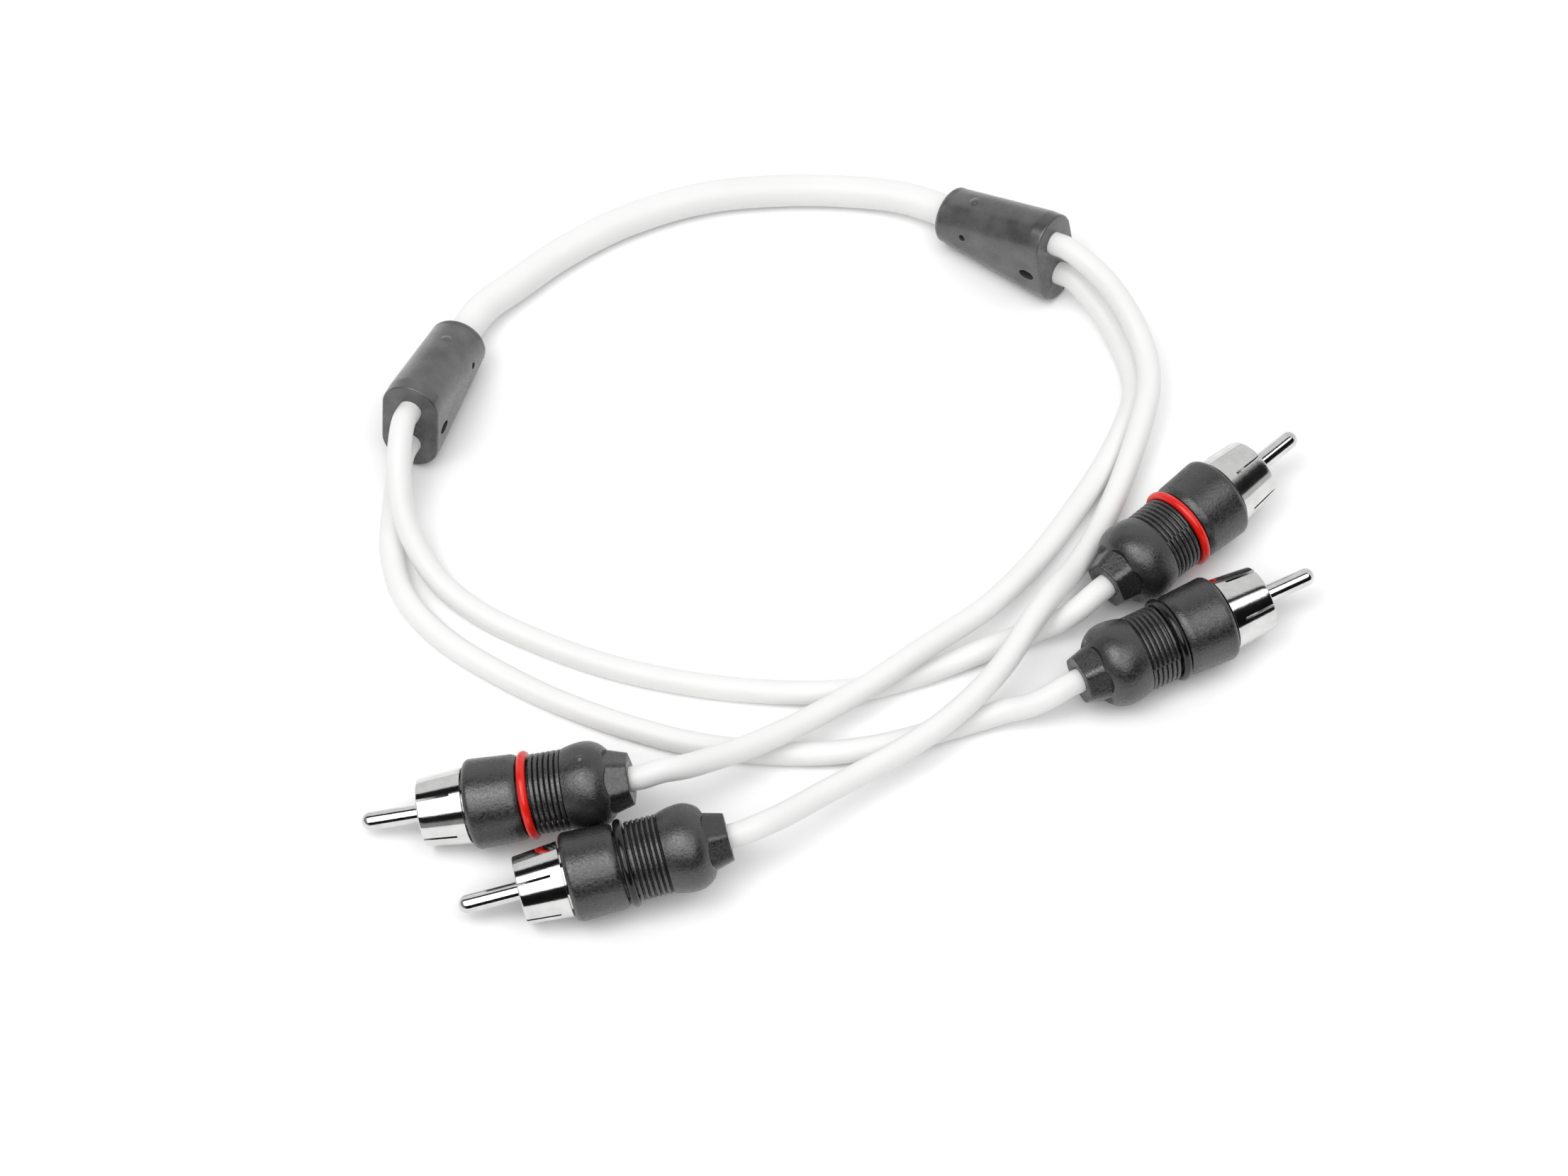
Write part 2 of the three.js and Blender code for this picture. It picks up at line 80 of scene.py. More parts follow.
# A shader socket that takes part in ordinary sums
class Sum:
    def __init__(self, tree, socket):
        self.tree = tree
        self.socket = socket

    def maths(self, operation, first, second=None):
        made = self.tree.nodes.new("ShaderNodeMath")
        made.operation = operation
        for entry, value in zip(made.inputs, (first, second)):
            if isinstance(value, Sum):
                self.tree.links.new(value.socket, entry)
            elif value is not None:
                entry.default_value = value
        return Sum(self.tree, made.outputs[0])

    def __add__(self, other):
        return self.maths("ADD", self, other)

    def __radd__(self, other):
        return self.maths("ADD", other, self)

    def __sub__(self, other):
        return self.maths("SUBTRACT", self, other)

    def __rsub__(self, other):
        return self.maths("SUBTRACT", other, self)

    def __mul__(self, other):
        return self.maths("MULTIPLY", self, other)

    def __rmul__(self, other):
        return self.maths("MULTIPLY", other, self)

    def clamped(self):
        return self.maths("MINIMUM", self.maths("MAXIMUM", self, 0.0), 1.0)


# A node tree under construction. One method adds any node: its type, its settings, then its sockets.
class Finish:
    def __init__(self, tree):
        self.tree = tree
        self.tree.nodes.clear()

    def node(self, kind, settings=None, sockets=None, output=0):
        made = self.tree.nodes.new("ShaderNode" + kind)
        for name, value in (settings or {}).items():
            if name == "stops":
                self.setStops(made.color_ramp.elements, value)
            else:
                setattr(made, name, value)
        for key, value in (sockets or {}).items():
            if isinstance(value, Sum):
                self.tree.links.new(value.socket, made.inputs[key])
            else:
                made.inputs[key].default_value = value
        return Sum(self.tree, made.outputs[output]) if len(made.outputs) else None

    def setStops(self, ramp, stops):
        ramp[0].position, ramp[0].color = stops[0]
        ramp[1].position, ramp[1].color = stops[-1]
        for position, colour in stops[1:-1]:
            ramp.new(position).color = colour

    def noise(self, coordinates, scale, detail=2.0, roughness=0.5):
        sockets = {"Vector": coordinates, "Scale": scale, "Detail": detail, "Roughness": roughness}
        return self.node("TexNoise", {}, sockets)

    def between(self, share, first, second):
        return self.node("Mix", {"data_type": "RGBA"}, {0: share, 6: first, 7: second}, 2)

    def bump(self, height, distance, strength=1.0):
        return self.node("Bump", {}, {"Height": height, "Distance": distance, "Strength": strength})

    def surface(self, sockets):
        self.node("OutputMaterial", {}, {0: self.node("BsdfPrincipled", {}, sockets)})


def newMaterial(name):
    made = bpy.data.materials.new(name)
    made.use_nodes = True
    return made, Finish(made.node_tree)


# Moulded rubber: spark-eroded grain as bump and as small changes of gloss, over a slow cloud of colour.
def mouldedRubber(look):
    material, finish = newMaterial(look["name"])
    position = finish.node("TexCoord", output=3)
    fine = finish.noise(position, look["grain"], 3.0, 0.65)
    coarse = finish.noise(position, look["grain"] / 3, 2.0)
    cloud = finish.noise(position, 220, 2.0)
    finish.surface(
        {
            "Base Color": finish.between(((cloud - 0.35) * 2.2).clamped(), look["dark"], look["light"]),
            "Roughness": ((fine - 0.5) * look["glint"] + look["roughness"]).clamped(),
            "Specular IOR Level": look["shine"],
            "Normal": finish.bump(fine + coarse * 0.5, look["depth"], look["strength"]),
        }
    )
    return material


# Smooth plastic: a faint cloud of colour, slightly uneven gloss and a shallow ripple.
def smoothPlastic(look):
    material, finish = newMaterial(look["name"])
    position = finish.node("TexCoord", output=3)
    cloud = finish.noise(position, look["cloud"], 2.0)
    ripple = finish.noise(position, look["ripple"], 3.0)
    finish.surface(
        {
            "Base Color": finish.between(((cloud - 0.3) * 2.0).clamped(), look["dark"], look["light"]),
            "Roughness": ((ripple - 0.5) * look["uneven"] + look["roughness"]).clamped(),
            "Specular IOR Level": look["shine"],
            "Normal": finish.bump(ripple, look["depth"], look["strength"]),
        }
    )
    return material


# Bright plate: near-mirror metal with faint smears of gloss and a very slight orange peel.
def brightPlate(look):
    material, finish = newMaterial(look["name"])
    position = finish.node("TexCoord", output=3)
    smear = finish.noise(position, look["smear"], 3.0, 0.6)
    peel = finish.noise(position, look["peel"], 2.0)
    finish.surface(
        {
            "Base Color": finish.between(((smear - 0.3) * 2.0).clamped(), look["dark"], look["light"]),
            "Metallic": 1.0,
            "Roughness": ((smear - 0.5) * look["uneven"] + look["roughness"]).clamped(),
            "Normal": finish.bump(peel, look["depth"], look["strength"]),
        }
    )
    return material


finishes = {
    "dark_rubber": mouldedRubber(
        {
            "name": "grainedRubber",
            "grain": 2300,
            "depth": 0.000075,
            "strength": 1.0,
            "dark": (0.009, 0.009, 0.0095, 1),
            "light": (0.017, 0.017, 0.0175, 1),
            "roughness": 0.31,
            "glint": 0.8,
            "shine": 1.0,
        }
    ),
    "sleeve_rubber": mouldedRubber(
        {
            "name": "smootherRubber",
            "grain": 900,
            "depth": 0.00002,
            "strength": 0.3,
            "dark": (0.038, 0.038, 0.039, 1),
            "light": (0.100, 0.100, 0.101, 1),
            "roughness": 0.27,
            "glint": 0.3,
            "shine": 0.9,
        }
    ),
    "nickel": brightPlate(
        {
            "name": "brightNickel",
            "smear": 350,
            "peel": 2400,
            "dark": (0.60, 0.60, 0.595, 1),
            "light": (0.76, 0.76, 0.755, 1),
            "roughness": 0.1,
            "uneven": 0.06,
            "depth": 0.00002,
            "strength": 0.3,
        }
    ),
    "white_jacket": smoothPlastic(
        {
            "name": "whiteJacket",
            "cloud": 60,
            "ripple": 900,
            "dark": (0.79, 0.79, 0.785, 1),
            "light": (0.82, 0.82, 0.815, 1),
            "roughness": 0.42,
            "uneven": 0.15,
            "shine": 0.4,
            "depth": 0.00003,
            "strength": 0.25,
        }
    ),
    "red_ring": smoothPlastic(
        {
            "name": "redRing",
            "cloud": 200,
            "ripple": 1200,
            "dark": (0.66, 0.008, 0.004, 1),
            "light": (0.80, 0.014, 0.006, 1),
            "roughness": 0.24,
            "uneven": 0.1,
            "shine": 0.5,
            "depth": 0.00002,
            "strength": 0.2,
        }
    ),
    "black_ring": smoothPlastic(
        {
            "name": "blackRing",
            "cloud": 200,
            "ripple": 1200,
            "dark": (0.003, 0.003, 0.003, 1),
            "light": (0.007, 0.007, 0.007, 1),
            "roughness": 0.16,
            "uneven": 0.1,
            "shine": 0.5,
            "depth": 0.00002,
            "strength": 0.2,
        }
    ),
    "natural_plastic": smoothPlastic(
        {
            "name": "naturalBush",
            "cloud": 150,
            "ripple": 900,
            "dark": (0.70, 0.67, 0.60, 1),
            "light": (0.80, 0.77, 0.70, 1),
            "roughness": 0.4,
            "uneven": 0.15,
            "shine": 0.5,
            "depth": 0.00003,
            "strength": 0.2,
        }
    ),
    "red_core": smoothPlastic(
        {
            "name": "redCore",
            "cloud": 200,
            "ripple": 900,
            "dark": (0.42, 0.016, 0.010, 1),
            "light": (0.50, 0.022, 0.016, 1),
            "roughness": 0.45,
            "uneven": 0.15,
            "shine": 0.5,
            "depth": 0.00003,
            "strength": 0.2,
        }
    ),
    "black_core": smoothPlastic(
        {
            "name": "blackCore",
            "cloud": 200,
            "ripple": 900,
            "dark": (0.011, 0.011, 0.012, 1),
            "light": (0.018, 0.018, 0.020, 1),
            "roughness": 0.45,
            "uneven": 0.15,
            "shine": 0.5,
            "depth": 0.00003,
            "strength": 0.2,
        }
    ),
    "copper": brightPlate(
        {
            "name": "bareCopper",
            "smear": 500,
            "peel": 1500,
            "dark": (0.55, 0.22, 0.10, 1),
            "light": (0.70, 0.32, 0.16, 1),
            "roughness": 0.25,
            "uneven": 0.2,
            "depth": 0.00002,
            "strength": 0.2,
        }
    ),
}
slotOf = {entry["node"]: entry["material_slot"] for entry in frame["record"]["subparts"]}
for name, node in nodes.items():
    node.data.materials.clear()
    node.data.materials.append(finishes[slotOf[name]])
print("finishes made")


# Meshes from grids of points
def gridFaces(rows, columns, closedRows=False):
    # One face for each cell of the grid. Columns always close round.
    lastRow = rows if closedRows else rows - 1
    row, column = np.meshgrid(np.arange(lastRow), np.arange(columns), indexing="ij")
    nextRow = (row + 1) % rows
    nextColumn = (column + 1) % columns
    corners = [row * columns + column, row * columns + nextColumn]
    corners += [nextRow * columns + nextColumn, nextRow * columns + column]
    return np.stack(corners, axis=-1).reshape(-1, 4)


def meshPiece(name, points, faces, slot, crease=32, merge=True):
    # Points in metres and faces as corner numbers become a closed piece with its faces out.
    mesh = bpy.data.meshes.new(name)
    mesh.from_pydata(np.asarray(points).reshape(-1, 3).tolist(), [], faces.tolist())
    work = bmesh.new()
    work.from_mesh(mesh)
    if merge:
        bmesh.ops.remove_doubles(work, verts=work.verts, dist=2e-7)
    bmesh.ops.recalc_face_normals(work, faces=work.faces)
    work.to_mesh(mesh)
    work.free()
    mesh.polygons.foreach_set("use_smooth", np.ones(len(mesh.polygons), bool))
    mesh.set_sharp_from_angle(angle=math.radians(crease))
    mesh.materials.append(finishes[slot])
    piece = bpy.data.objects.new(name, mesh)
    bpy.context.scene.collection.objects.link(piece)
    return piece


def standIn(piece, slot, *replaced):
    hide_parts(*replaced)
    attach(piece, "root")
    return piece


# A point of a quarter turn at an even share of it, for each share.
def quarter(radius, station, round_, first, last, steps):
    angles = np.linspace(first, last, steps)
    return [[radius + round_ * math.cos(a), station + round_ * math.sin(a)] for a in angles]


# Plugs: where each lies, which way it points, and how it is rolled
plugs = {
    "right_red": {
        "at": [-53.7, -49.1],
        "yaw": 184.4,
        "tilt": 10.6,
        "slotTurn": -10.4,
        "neckTurn": -31,
        "gateTurn": 8.6,
        "colour": "red",
    },
    "right_black": {
        "at": [-36.7, -63.6],
        "yaw": 192.2,
        "tilt": 7.8,
        "slotTurn": -19.5,
        "neckTurn": 3,
        "gateTurn": 137.5,
        "colour": "black",
    },
    "left_red": {
        "at": [77.5, 14.6],
        "yaw": 42.4,
        "tilt": None,
        "slotTurn": 13.5,
        "neckTurn": -3,
        "gateTurn": 119,
        "colour": "red",
    },
    "left_black": {
        "at": [76.3, -11],
        "yaw": 27.6,
        "tilt": None,
        "slotTurn": -23.5,
        "neckTurn": -3,
        "gateTurn": 152,
        "colour": "black",
    },
}
boot = {
    "barrelRadius": 7.8,
    "barrelWaist": 7.45,
    "barrelHeel": 6.9,
    "barrelLength": 9.3,
    "edgeRadius": 1.1,
    "grooveRadius": 5.8,
    "ribs": 6,
    "ribPitch": 0.94,
    "ribRadius": 6.92,
    "ribDepth": 0.45,
    "bulbRadius": 7.63,
    "bulbStartRadius": 6.45,
    "bulbFront": 3.8,
    "bulbRear": 3.9,
    "bulbWrap": 55,  # degrees that the bulb's side turns through from its widest place to the neck
    "neckBase": 5.5,
    "neckEnd": 4.5,
    "neckLength": 3.4,
    "neckFlats": 6,
    "flatDepth": 0.09,  # of the neck's radius
    "flatBite": 0.5,  # how far the middle of a flat runs into the bulb
    "leadHole": 2.3,
    "socket": 5.7,
    "fit": 0.3,
    "columns": 240,
}
ring = {"radius": 0.8, "outer": 7.7, "sides": 28, "columns": 144}
ringStation = -(boot["barrelLength"] + ring["radius"] + boot["fit"])
ribsStart = ringStation - ring["radius"] - boot["fit"]
ribsEnd = ribsStart - boot["ribs"] * boot["ribPitch"]
bulbStation = ribsEnd - boot["bulbFront"]
bulbEnd = bulbStation - boot["bulbRear"]
bootEnd = bulbEnd - boot["neckLength"]


def plugFrame(lie):
    # Origin at the boot's front face; its axis points to the pin's tip, up leans with the tilt.
    flat = -math.asin((boot["barrelRadius"] - boot["bulbRadius"]) / -(bulbStation + boot["edgeRadius"]))
    tilt = flat if lie["tilt"] is None else math.radians(lie["tilt"])
    yaw = math.radians(lie["yaw"])
    axis = np.array([math.cos(yaw) * math.cos(tilt), math.sin(yaw) * math.cos(tilt), -math.sin(tilt)])
    side = np.array([math.sin(yaw), -math.cos(yaw), 0])
    edge = (boot["barrelRadius"] - boot["edgeRadius"]) * math.cos(tilt) + boot["edgeRadius"]
    origin = np.array([*lie["at"], edge - boot["edgeRadius"] * math.sin(tilt)])
    return {"origin": origin, "axis": axis, "side": side, "up": np.cross(side, axis)}


def onPlug(local, radius, station, angle):
    # Radius, station along the axis and angle from up to side, each an array, to metres.
    radius, station, angle = np.broadcast_arrays(radius, station, angle)
    points = local["origin"] + station[..., None] * local["axis"]
    points = points + (radius * np.sin(angle))[..., None] * local["side"]
    return place(points + (radius * np.cos(angle))[..., None] * local["up"])


def turned(name, local, profile, columns, slot, crease=32):
    # A closed [radius, station] profile carried round the plug's axis.
    profile = np.array(profile, float)
    angle = np.linspace(0, turn, columns, endpoint=False)
    points = onPlug(local, profile[:, :1], profile[:, 1:], angle[None, :])
    closed = profile[0][0] > 0
    return meshPiece(name, points, gridFaces(len(profile), columns, closed), slot, crease)


def smoothStep(share):
    share = np.clip(share, 0, 1)
    return share * share * (3 - 2 * share)


def bootProfile():
    # Outer stations from the front's inner edge back to the neck's start, as [radius, station].
    b = boot
    front = quarter(b["barrelRadius"] - b["edgeRadius"], -b["edgeRadius"], b["edgeRadius"], math.pi / 2, 0, 9)
    barrel = np.linspace(-b["edgeRadius"] - 0.6, 1.6 - b["barrelLength"], 10)
    slope = (b["barrelRadius"] - b["barrelWaist"]) / (b["barrelLength"] - 1 - b["edgeRadius"])
    sides = [[b["barrelRadius"] + slope * (s + b["edgeRadius"]), s] for s in barrel]
    heel = [
        [b["barrelWaist"] + 0.05 - (b["barrelWaist"] - b["barrelHeel"]) * share**2.2, 1.6 - b["barrelLength"] - 1.6 * share]
        for share in np.linspace(0.15, 1, 9)
    ]
    groove = [[b["grooveRadius"], -b["barrelLength"] - 0.01], [b["grooveRadius"], ribsStart]]
    steps = 10 * b["ribs"] + 1
    ribs = [[b["ribRadius"], s] for s in np.linspace(ribsStart - 0.01, ribsEnd, steps)]
    brow = [
        [
            b["bulbStartRadius"] + (b["bulbRadius"] - b["bulbStartRadius"]) * math.sin(math.pi / 2 * (0.28 + 0.72 * share)),
            ribsEnd - 0.02 - (b["bulbFront"] - 0.02) * share,
        ]
        for share in np.linspace(0, 1, 16)
    ]
    return [[b["socket"], 0], [b["socket"] + 0.5, 0]] + front + sides + heel + groove + ribs + brow


def ribCut(station, angle, gate):
    # How deep a rib's groove is at a place. The two mould halves meet a quarter turn from the gate, and their ribs differ a little.
    phase = (ribsStart - station) / boot["ribPitch"]
    half = np.cos(angle - gate) > 0
    shifted = np.where(half, phase, phase + 0.32)
    wave = np.abs(((shifted + 0.5) % 1) - 0.5) * 2  # 0 in a groove's middle, 1 on a rib's crest
    groove = 1 - smoothStep(wave / np.where(half, 0.5, 0.66))
    crown = 0.22 * (1 - wave) ** 2
    return boot["ribDepth"] * np.maximum(groove, crown * np.where(half, 0.8, 1.5))


def neckRadius(station, angle, lie):
    # A round taper with flats. A flat at distance d from the axis has radius d / cos(angle from its middle).
    share = (bulbEnd - station) / boot["neckLength"]
    round_ = boot["neckBase"] + (boot["neckEnd"] - boot["neckBase"]) * share
    flat = (1 - boot["flatDepth"]) * round_ / np.cos(fromFlat(angle, lie))
    corner = 0.24
    blend = np.clip(0.5 + (round_ - flat) / (2 * corner), 0, 1)
    return flat * blend + round_ * (1 - blend) - corner * blend * (1 - blend)


def fromFlat(angle, lie):
    # Angle from the middle of the nearest flat.
    step = turn / boot["neckFlats"]
    return (angle - math.radians(lie["neckTurn"]) + step / 2) % step - step / 2


def buildBoot(name, lie, local):
    angle = np.linspace(0, turn, boot["columns"], endpoint=False)[None, :]
    profile = np.array(bootProfile())
    radius = profile[:, :1] + 0 * angle
    station = profile[:, 1:] + 0 * angle
    gate = math.radians(lie["gateTurn"])
    inRibs = (station <= ribsStart - 0.005) & (station >= ribsEnd)
    radius = radius - np.where(inRibs, ribCut(station, angle, gate), 0)
    # The bulb's rear is an arc that ends where the neck's flats bite into it:
    # radius = R - drop (1 - cos a) / (1 - cos w), station = S - rear sin a / sin w, up to w at the neck.
    wrap = math.radians(boot["bulbWrap"])
    half = math.acos(1 - boot["flatDepth"])
    bite = boot["flatBite"] * np.clip(1 - (fromFlat(angle, lie) / half) ** 2, 0, 1)
    last = np.arcsin((boot["bulbRear"] - bite) / boot["bulbRear"] * math.sin(wrap))
    swing = np.linspace(0.05, 1, 22)[:, None] * last
    drop = (boot["bulbRadius"] - boot["neckBase"]) * (1 - np.cos(swing)) / (1 - math.cos(wrap))
    radius = np.concatenate([radius, boot["bulbRadius"] - drop])
    station = np.concatenate([station, bulbStation - boot["bulbRear"] * np.sin(swing) / math.sin(wrap)])
    # Small round gate mark on the bulb
    across = (np.cos(angle - gate) > 0) * np.exp(
        -((radius * np.sin(angle - gate)) ** 2 + (station - bulbStation) ** 2) / 0.42**2
    )
    radius = radius + 0.28 * np.minimum(across * 1.6, 1)
    # Neck with an eased edge at its end
    shares = np.array([0.004, 0.03, 0.15, 0.35, 0.55, 0.75, 0.9, 0.955, 0.985, 1])[:, None]
    neckStation = bulbEnd + bite + (bootEnd - bulbEnd - bite) * shares
    easing = 0.14 * (1 - np.sqrt(1 - np.clip((shares - 0.955) / 0.045, 0, 1) ** 2))
    neck = neckRadius(neckStation, angle, lie) - easing
    lip = np.stack([neck[-1] - 0.3, 0 * angle[0] + boot["leadHole"] + 0.25, 0 * angle[0] + boot["leadHole"]])
    lipStation = bootEnd + np.array([0, 0.03, 0.22])[:, None] + 0 * angle
    # Inside: the lead's hole, the cavity and the seat of the plug's body
    inner = np.array([[boot["leadHole"], bootEnd + 3], [boot["leadHole"], bootEnd + 11.7], [4.8, bootEnd + 13.7]])
    inner = np.concatenate([inner, [[4.8, -5.8], [boot["socket"], -5.3]]])
    radius = np.concatenate([radius, neck, lip, inner[:, :1] + 0 * angle])
    station = np.concatenate([station, neckStation, lipStation, inner[:, 1:] + 0 * angle])
    points = onPlug(local, radius, station, angle)
    faces = gridFaces(len(radius), boot["columns"], True)
    return meshPiece(name + "_moulded_boot", points, faces, "dark_rubber", 38)


shell = {
    "reach": 8.3,
    "rimRadius": 5.92,
    "skirtRadius": 6.66,
    "back": 0.3,
    "bore": 4.3,
    "seat": 5.4,
    "slots": 5,
    "slotWidth": 0.5,
    "slotLength": 6,
    "rim": 0.28,
}


def shellStations():
    # Outer and inner sides at the same stations from the rim back to the slots' ends.
    s = shell
    outer, inner = [], []
    for share in np.linspace(0, 1, 6):
        swing = math.pi / 2 * share
        back = s["rim"] * (1 - math.cos(swing))
        outer.append([s["rimRadius"] - s["rim"] + s["rim"] * math.sin(swing), s["reach"] - back])
        inner.append([s["bore"] + 0.6 * (1 - share), s["reach"] - 1.2 * share])
    ends = s["reach"] - s["slotLength"]
    for station in np.linspace(s["reach"] - s["rim"], ends, 9)[1:]:
        run = s["reach"] - s["rim"] - s["back"]
        share = (s["reach"] - s["rim"] - station) / run
        outer.append([s["rimRadius"] + (s["skirtRadius"] - s["rimRadius"]) * share, station])
        inner.append([s["bore"], min(station, s["reach"] - 1.2)])
    for spot, station in enumerate(np.linspace(s["reach"] - 1.2, ends, 9)[1:]):
        inner[6 + spot] = [s["bore"], station]
    return outer, inner


def buildShell(name, lie, local):
    s = shell
    outer, inner = shellStations()
    slotRows = len(outer)
    rear = [[s["skirtRadius"], s["back"] + 0.08], [s["skirtRadius"] - 0.08, s["back"]]]
    rear += [[s["seat"], s["back"]], [s["seat"], -5]]
    rear += [[3.7, -5], [3.7, -2.7], [3.3, -2.7], [3.3, 0.3], [s["bore"], 0.3]]
    profile = np.array(outer + rear + inner[::-1])
    # Columns: each slot's two walls stay parallel, and the rest spread evenly between them.
    perPetal = 24
    columns = s["slots"] * (perPetal + 1)
    petal = turn / s["slots"]
    step_ = np.arange(columns) % (perPetal + 1)
    first = np.arange(columns) // (perPetal + 1) * petal + math.radians(lie["slotTurn"])
    half = np.arcsin(s["slotWidth"] / 2 / profile[:, :1])
    angle = first[None, :] + half + (petal - 2 * half) * step_[None, :] / perPetal
    points = onPlug(local, profile[:, :1], profile[:, 1:], angle)
    rows = len(profile)
    faces = gridFaces(rows, columns, True)
    # Cells in a slot are left out and its walls added.
    row = faces[:, 0] // columns
    column = faces[:, 0] % columns
    slotCell = column % (perPetal + 1) == perPetal
    open_ = slotCell & ((row < slotRows - 1) | (row >= rows - slotRows))
    walls = []
    up = np.arange(slotRows - 1)
    for edge in range(columns):
        if edge % (perPetal + 1) in (0, perPetal):
            a, b = up * columns + edge, (up + 1) * columns + edge
            c, d = (rows - 2 - up) * columns + edge, (rows - 1 - up) * columns + edge
            walls.append(np.stack([a, b, c, d], axis=-1))
        if edge % (perPetal + 1) == perPetal:
            far = (edge + 1) % columns
            outerRow, innerRow = (slotRows - 1) * columns, (rows - slotRows) * columns
            walls.append(np.array([[outerRow + edge, outerRow + far, innerRow + far, innerRow + edge]]))
    faces = np.concatenate([faces[~open_]] + walls)
    return meshPiece(name + "_plated_shell", points, faces, "nickel", 30)


pin = {"radius": 1.6, "reach": 19.1, "flangeRadius": 2.2, "flange": [-4.6, -5.5], "back": -9.8}


def buildPin(name, local):
    p = pin
    nose = quarter(0, p["reach"] - p["radius"], p["radius"], 0, math.pi / 2, 14)
    nose[-1][0] = 0
    body = [[0, p["back"] + 3.4], [0.95, p["back"] + 3.4], [0.95, p["back"]], [1.5, p["back"]], [1.5, p["flange"][1]]]
    body += [[p["flangeRadius"], p["flange"][1]], [p["flangeRadius"], p["flange"][0]], [p["radius"], p["flange"][0]]]
    body += [[p["radius"], s] for s in np.linspace(0, p["reach"] - p["radius"] - 0.5, 6)]
    return turned(name + "_plated_pin", local, body + nose, 72, "nickel", 30)


def buildBush(name, local):
    profile = [[3, -4.3], [3, 0.6], [4, 0.6], [4, 1.25], [3.85, 1.4], [2.05, 1.4], [1.9, 1.25], [1.9, -4.3]]
    return turned(name + "_bush", local, profile, 96, "natural_plastic", 30)


def buildRing(name, colour, local):
    r = ring
    angles = np.linspace(0, turn, r["sides"], endpoint=False)
    centre = r["outer"] - r["radius"]
    profile = [[centre + r["radius"] * math.cos(a), ringStation + r["radius"] * math.sin(a)] for a in angles]
    return turned(name + "_rubber_ring", local, profile, r["columns"], colour + "_ring", 60)


plugFrames = {name: plugFrame(lie) for name, lie in plugs.items()}


# Splitters: a turned bar whose upper half rises and lower half drops towards the leads
splitters = {
    "left": {"at": [-59.2, 50.4], "yaw": -109.5, "holesOn": -1},
    "right": {"at": [30.8, 79.6], "yaw": -35.7, "holesOn": 1},
}
sleeve = {
    "length": 24,
    "radius": 5.4,
    "leadSpacing": 8,
    "rear": 1,
    "front": 0.35,
    "taperStart": 1.5,
    "taperEnd": 21.5,
    "trunkHole": 3.06,
    "trunkDepth": 8.3,
    "leadHole": 2.22,
    "leadDepth": 7.8,
    "pinHole": {"radius": 0.65, "depth": 1.6, "along": 6.7, "up": 1.7, "stretch": 1},
    "ovalHole": {"radius": 1.05, "depth": 2, "along": 20.8, "up": -1, "stretch": 1.5},
    "nub": {"along": 6.6, "radius": 0.75, "height": 0.32},
    "columns": 176,
}


def splitterFrame(lie):
    s = sleeve
    tilt = math.atan2(s["leadSpacing"] / 2, s["taperEnd"] - s["rear"])
    yaw = math.radians(lie["yaw"])
    axis = np.array([math.cos(yaw) * math.cos(tilt), math.sin(yaw) * math.cos(tilt), math.sin(tilt)])
    side = np.array([math.sin(yaw), -math.cos(yaw), 0])
    height = (s["radius"] - s["rear"]) * math.cos(tilt) + s["rear"] * (1 - math.sin(tilt))
    return {"origin": np.array([*lie["at"], height]), "axis": axis, "side": side, "up": np.cross(side, axis)}


def onSplitter(local, across, along, high):
    across, along, high = np.broadcast_arrays(across, along, high)
    points = local["origin"] + across[..., None] * local["side"] + along[..., None] * local["axis"]
    return place(points + high[..., None] * local["up"])


def cutter(local, centre, radius, first, last, alongAxis, stretch=1):
    # A closed round bar, along the sleeve or across it, for cutting a hole.
    angle = np.linspace(0, turn, 48, endpoint=False)[None, :]
    scale = np.array([0, 1, 1, 0])[:, None]
    depth = np.array([first, first, last, last])[:, None]
    wide, high = scale * radius * np.cos(angle), scale * radius * np.sin(angle)
    if alongAxis:
        points = onSplitter(local, centre[0] + wide, depth, centre[1] + high)
    else:
        points = onSplitter(local, depth, centre[0] + wide * stretch, centre[1] + high)
    return meshPiece("cutter", points, gridFaces(4, 48), "dark_rubber")


